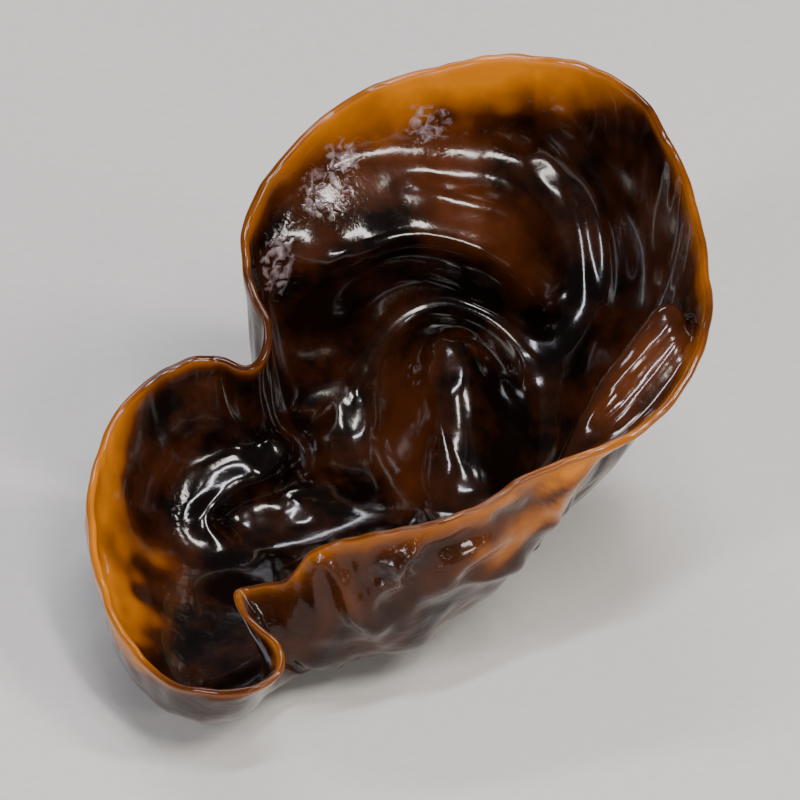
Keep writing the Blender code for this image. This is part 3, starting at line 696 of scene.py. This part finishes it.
# On the outer face the same attribute holds the real growth zones and the lip's painted light
painted_light_and_zones[:, FOOT_ROWS:FOOT_ROWS + OUTER_ROWS - first] = ZONE_STRENGTH * zones + LIP_PAINTED_LIGHT * lip_sector * lip_reach
attribute("glow", glow_rows)
attribute("crinkle_and_painted_sheen", crinkle_and_painted_sheen)
attribute("foot", foot_share, 1.0, 0.0)
attribute("painted_light_and_zones", np.clip(painted_light_and_zones, 0.0, 1.0))

# %% [markdown]
# ## Materials
#
# The inner face is bare jelly: smooth, wet and almost black where it is thick. The outer face is
# covered in fine down that lies flat when wet, so it is browner and its shine is broken. The cut
# shows pale, fibrous flesh. The two faces start from the same idea, pigment in clear jelly with a film
# of wet on top, so one function builds them: the colour goes from deep to lit brown in patches and
# with painted light, on to amber where light through the thin flesh is painted, and to a painted pale
# highlight where the skin is crinkled.

# %% Material helpers
def linear(code):
    """An sRGB hex colour as linear red, green, blue and alpha."""
    channels = np.array([int(code[i:i + 2], 16) for i in (1, 3, 5)]) / 255.0
    bright = ((channels + 0.055) / 1.055) ** 2.4
    return (*np.where(channels <= 0.04045, channels / 12.92, bright).tolist(), 1.0)


def add(tree, kind, values=None, links=None, **settings):
    """Adds one node: settings on the node, values on its input sockets, and links into them."""
    node = tree.nodes.new(kind)
    for name, value in settings.items():
        setattr(node, name, value)
    for name, value in (values or {}).items():
        node.inputs[name].default_value = value
    for name, source in (links or {}).items():
        tree.links.new(source, node.inputs[name])
    return node


def new_material(name):
    """An empty material with a Principled shader wired to its output."""
    material = bpy.data.materials.new(name)
    material.use_nodes = True
    tree = material.node_tree
    return material, tree, tree.nodes["Principled BSDF"]


def per_metre(millimetres):
    """A pattern's Scale for features of this size, because Object coordinates are in metres."""
    return 1.0 / (millimetres * MM)


# %% Flesh materials
LIP_HEADING = math.radians(-21.0)  # turns the lip's run from the twist to the pleat onto X


def flesh(name, deep, lit, thin, glow_colour, rough, bump_mm, bump_size, fine_tilt, stretch, painted_sheen_share):
    """Jelly-like flesh: deep to lit brown by patches and painted light, then an amber painted backlight.

    The grain is noise of bump_size millimetres, drawn out 1 / stretch times along the lip. Where the
    skin is crinkled, a painted pale highlight covers a share of it, set by the last argument.
    """
    material, tree, shader = new_material(name)
    place = add(tree, "ShaderNodeTexCoord").outputs["Object"]
    along_lip = add(
        tree, "ShaderNodeMapping", {"Rotation": (0.0, 0.0, LIP_HEADING), "Scale": (stretch, 1.0, 1.0)}, {"Vector": place}
    )
    patches = add(
        tree, "ShaderNodeTexNoise", {"Scale": per_metre(7.0), "Detail": 4.0, "Roughness": 0.6}, {"Vector": place}
    )
    grain = add(
        tree, "ShaderNodeTexNoise", {"Scale": per_metre(bump_size), "Detail": 3.0, "Roughness": 0.55},
        {"Vector": along_lip.outputs["Vector"]},
    )
    # Painted light and growth zones from the attribute, plus random patches, move the brown from deep to lit
    light_and_zones = add(tree, "ShaderNodeAttribute", attribute_name="painted_light_and_zones")
    tint = add(
        tree, "ShaderNodeMath", {1: 0.6}, {0: light_and_zones.outputs["Fac"], 2: patches.outputs["Fac"]}, operation="MULTIPLY_ADD"
    )
    brown = add(tree, "ShaderNodeValToRGB", links={"Fac": tint.outputs[0]})
    brown.color_ramp.elements[0].position = 0.45
    brown.color_ramp.elements[0].color = linear(deep)
    brown.color_ramp.elements[1].position = 1.00
    brown.color_ramp.elements[1].color = linear(lit)
    # Painted backlight: the glow attribute turns the thin brown to amber
    backlight_glow = add(tree, "ShaderNodeAttribute", attribute_name="glow")
    toward = add(
        tree, "ShaderNodeMath", {1: 0.25}, {0: grain.outputs["Fac"]}, operation="MULTIPLY"
    )
    spread = add(
        tree, "ShaderNodeMath", {2: -0.06}, {0: backlight_glow.outputs["Fac"], 1: toward.outputs[0]}, operation="MULTIPLY_ADD"
    )
    amount = add(
        tree, "ShaderNodeMath", links={0: backlight_glow.outputs["Fac"], 1: spread.outputs[0]}, operation="ADD", use_clamp=True
    )
    amber = add(tree, "ShaderNodeValToRGB", links={"Fac": amount.outputs[0]})
    amber.color_ramp.elements[0].position = 0.25
    amber.color_ramp.elements[0].color = linear(thin)
    amber.color_ramp.elements[1].position = 0.85
    amber.color_ramp.elements[1].color = linear(glow_colour)
    cover = add(
        tree, "ShaderNodeMapRange", {"From Min": 0.02, "From Max": 0.45}, {"Value": amount.outputs[0]},
        interpolation_type="SMOOTHSTEP",
    )
    colour = add(
        tree, "ShaderNodeMix",
        links={"Factor": cover.outputs["Result"], 6: brown.outputs["Color"], 7: amber.outputs["Color"]},
        data_type="RGBA",
    )
    crinkle_and_sheen = add(tree, "ShaderNodeAttribute", attribute_name="crinkle_and_painted_sheen")
    crinkle = add(
        tree, "ShaderNodeTexNoise", {"Scale": per_metre(1.1), "Detail": 2.0, "Distortion": 0.8}, {"Vector": place}
    )
    crinkled = add(
        tree, "ShaderNodeMath", links={0: crinkle.outputs["Fac"], 1: crinkle_and_sheen.outputs["Fac"]}, operation="MULTIPLY"
    )
    # Painted highlight: a pale lilac grey mixed over the crinkled skin
    painted_sheen = add(
        tree, "ShaderNodeMapRange", {"From Min": 0.40, "From Max": 0.72, "To Max": painted_sheen_share},
        {"Value": crinkled.outputs[0]}
    )
    painted_sheen_mix = add(
        tree, "ShaderNodeMix", {7: linear("#a8989c")},
        {"Factor": painted_sheen.outputs["Result"], 6: colour.outputs[2]}, data_type="RGBA",
    )
    tree.links.new(painted_sheen_mix.outputs[2], shader.inputs["Base Color"])
    height = add(
        tree, "ShaderNodeMath", {1: fine_tilt}, {0: grain.outputs["Fac"], 2: crinkled.outputs[0]}, operation="MULTIPLY_ADD"
    )
    bump = add(
        tree, "ShaderNodeBump", {"Strength": 1.0, "Distance": bump_mm * MM}, {"Height": height.outputs[0]}
    )
    tree.links.new(bump.outputs["Normal"], shader.inputs["Normal"])
    gloss = add(
        tree, "ShaderNodeMapRange", {"From Min": 0.3, "From Max": 0.7, "To Min": rough[0], "To Max": rough[1]},
        {"Value": patches.outputs["Fac"]},
    )
    tree.links.new(gloss.outputs["Result"], shader.inputs["Roughness"])
    shader.inputs["IOR"].default_value = 1.40
    shader.inputs["Subsurface Weight"].default_value = 0.08
    shader.inputs["Subsurface Radius"].default_value = (1.0, 0.38, 0.12)
    shader.inputs["Subsurface Scale"].default_value = 2.0 * MM
    return material, tree, shader


# Bare jelly of the fertile inner face, smooth because it grew against nothing. Wet, it is nearly a
# mirror over near-black brown, so the eye sees deep darks and crisp pale highlights
inner_jelly, _, shader = flesh(
    "bare_inner_jelly", "#0c0503", "#52270f", "#5a2a0c", "#d07a10", (0.10, 0.18), 0.12, 1.4, 0.25, 1.0, 0.80
)
shader.inputs["Coat Weight"].default_value = 0.5
shader.inputs["Coat Roughness"].default_value = 0.04
shader.inputs["Coat IOR"].default_value = 1.33

# Downy outer face: short hairs lie flat in the wet, so it is lighter, and its shine is soft and broken
outer_down, _, shader = flesh(
    "downy_outer_flesh", "#170a05", "#452008", "#5a2c0c", "#b86c12", (0.14, 0.24), 0.22, 1.1, 0.6, 0.45, 0.10
)
shader.inputs["Specular IOR Level"].default_value = 0.20
shader.inputs["Coat Weight"].default_value = 0.6
shader.inputs["Coat Roughness"].default_value = 0.05
shader.inputs["Coat IOR"].default_value = 1.33
shader.inputs["Sheen Weight"].default_value = 0.03
shader.inputs["Sheen Roughness"].default_value = 0.45
print("materials:", inner_jelly.name, outer_down.name)

# %% [markdown]
# The foot's flesh is paler and made of fibres that ran into the wood. Its noise is stretched along
# the height, so that it reads as fibres on the side and as pores on the cut.

# %% Cut flesh
def fibrous_cut():
    """Pale fibrous flesh: noise squeezed across and stretched along Z, from brown to buff."""
    material, tree, shader = new_material("fibrous_cut_flesh")
    place = add(tree, "ShaderNodeTexCoord").outputs["Object"]
    squeeze = add(tree, "ShaderNodeMapping", {"Scale": (1.0, 1.0, 0.25)}, {"Vector": place})
    fibres = add(
        tree, "ShaderNodeTexNoise", {"Scale": per_metre(0.9), "Detail": 4.0, "Roughness": 0.65},
        {"Vector": squeeze.outputs["Vector"]},
    )
    tone = add(tree, "ShaderNodeValToRGB", links={"Fac": fibres.outputs["Fac"]})
    tone.color_ramp.elements[0].position = 0.3
    tone.color_ramp.elements[0].color = linear("#3a1d10")
    tone.color_ramp.elements[1].position = 0.7
    tone.color_ramp.elements[1].color = linear("#8a6242")
    tree.links.new(tone.outputs["Color"], shader.inputs["Base Color"])
    bump = add(
        tree, "ShaderNodeBump", {"Strength": 1.0, "Distance": 0.3 * MM}, {"Height": fibres.outputs["Fac"]}
    )
    tree.links.new(bump.outputs["Normal"], shader.inputs["Normal"])
    shader.inputs["Roughness"].default_value = 0.42
    shader.inputs["IOR"].default_value = 1.40
    return material


cut_flesh = fibrous_cut()
for material in (inner_jelly, outer_down, cut_flesh):
    skin.materials.append(material)
slots = np.where(quad_rows >= INNER_START - 3, 0, np.where(quad_rows < FOOT_ROWS - 4, 2, 1))
slots = np.concatenate([slots, np.full(AROUND, 2), np.zeros(AROUND, int)]).astype(np.int32)
skin.polygons.foreach_set("material_index", slots)
print("faces by material:", np.bincount(slots).tolist())

# %% Place the skin in the frame
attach(ear, "root")
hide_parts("ear")

# %% [markdown]
# ## Floor, light and camera
#
# A pale matt floor and soft boxes, as in a studio. The highlights on wet flesh are pictures of the
# lamps, so their shapes matter more than their power: one long box overhead and behind for the
# crests, one to the left for the wall, and a narrow one to the right for the rolled margin.

# %% Floor
def pale_floor():
    """A wide flat plane under the foot, with a faint paper grain."""
    mesh = bpy.data.meshes.new("floor")
    half = 1.5
    mesh.from_pydata([(-half, -half, 0), (half, -half, 0), (half, half, 0), (-half, half, 0)], [], [(0, 1, 2, 3)])
    floor = bpy.data.objects.new("floor", mesh)
    bpy.context.scene.collection.objects.link(floor)
    material, tree, shader = new_material("matt_pale_paper")
    place = add(tree, "ShaderNodeTexCoord").outputs["Object"]
    grain = add(tree, "ShaderNodeTexNoise", {"Scale": per_metre(1.5), "Detail": 3.0}, {"Vector": place})
    tone = add(tree, "ShaderNodeValToRGB", links={"Fac": grain.outputs["Fac"]})
    tone.color_ramp.elements[0].color = linear("#dedbd6")
    tone.color_ramp.elements[1].color = linear("#e9e7e3")
    tree.links.new(tone.outputs["Color"], shader.inputs["Base Color"])
    shader.inputs["Roughness"].default_value = 0.9
    mesh.materials.append(material)
    return floor


pale_floor()

# %% Lights
AIM = Vector((-2.6, 0.0, 20.9)) * MM


LAMP_DISTANCE = 1.1


def soft_box(name, azimuth, elevation, size, brightness, colour):
    """An area lamp on a sphere round the ear, power = pi x area x brightness.

    The azimuth runs from the back wall toward the right, in degrees.
    """
    a, e = math.radians(azimuth), math.radians(elevation)
    way = Vector((math.cos(e) * math.sin(a), math.cos(e) * math.cos(a), math.sin(e)))
    lamp = bpy.data.lights.new(name, "AREA")
    lamp.shape = "RECTANGLE"
    lamp.size, lamp.size_y = size
    lamp.energy = math.pi * size[0] * size[1] * brightness
    lamp.color = linear(colour)[:3]
    thing = bpy.data.objects.new(name, lamp)
    thing.location = AIM + LAMP_DISTANCE * way
    thing.rotation_euler = way.to_track_quat("Z", "Y").to_euler()
    bpy.context.scene.collection.objects.link(thing)


soft_box("back_strip", -12.0, 58.0, (0.60, 0.10), 18.0, "#f4f3ff")
soft_box("overhead_strip", 150.0, 78.0, (0.40, 0.06), 54.0, "#f8f6ff")
soft_box("front_right_box", 113.0, 45.0, (0.10, 0.36), 42.0, "#fff8f0")
soft_box("front_strip", 152.0, 56.0, (0.09, 0.34), 42.0, "#fffaf4")
soft_box("front_left_strip", -138.0, 30.0, (0.09, 0.40), 36.0, "#f6f6ff")
soft_box("low_front_strip", 172.0, 17.0, (0.22, 0.06), 44.0, "#fff9f2")
soft_box("low_right_strip", 134.0, 17.0, (0.30, 0.08), 40.0, "#fff9f2")

world = bpy.data.worlds.new("studio")
world.use_nodes = True
world.node_tree.nodes["Background"].inputs["Color"].default_value = linear("#e8e8ee")
world.node_tree.nodes["Background"].inputs["Strength"].default_value = 0.10
bpy.context.scene.world = world

# %% Camera
CAMERA_DISTANCE = 0.9
WINDOW = 93.0 * MM

camera_data = bpy.data.cameras.new("camera")
camera_data.lens = camera_data.sensor_width * CAMERA_DISTANCE / WINDOW
camera = bpy.data.objects.new("camera", camera_data)
camera.location = AIM + CAMERA_DISTANCE * Vector((0.0, -math.cos(LOOK_DOWN), math.sin(LOOK_DOWN)))
camera.rotation_euler = (math.pi / 2.0 - LOOK_DOWN, 0.0, 0.0)
bpy.context.scene.collection.objects.link(camera)
bpy.context.scene.camera = camera
print(f"camera: {camera_data.lens:.0f} mm lens, {math.degrees(LOOK_DOWN):.0f} degrees down")
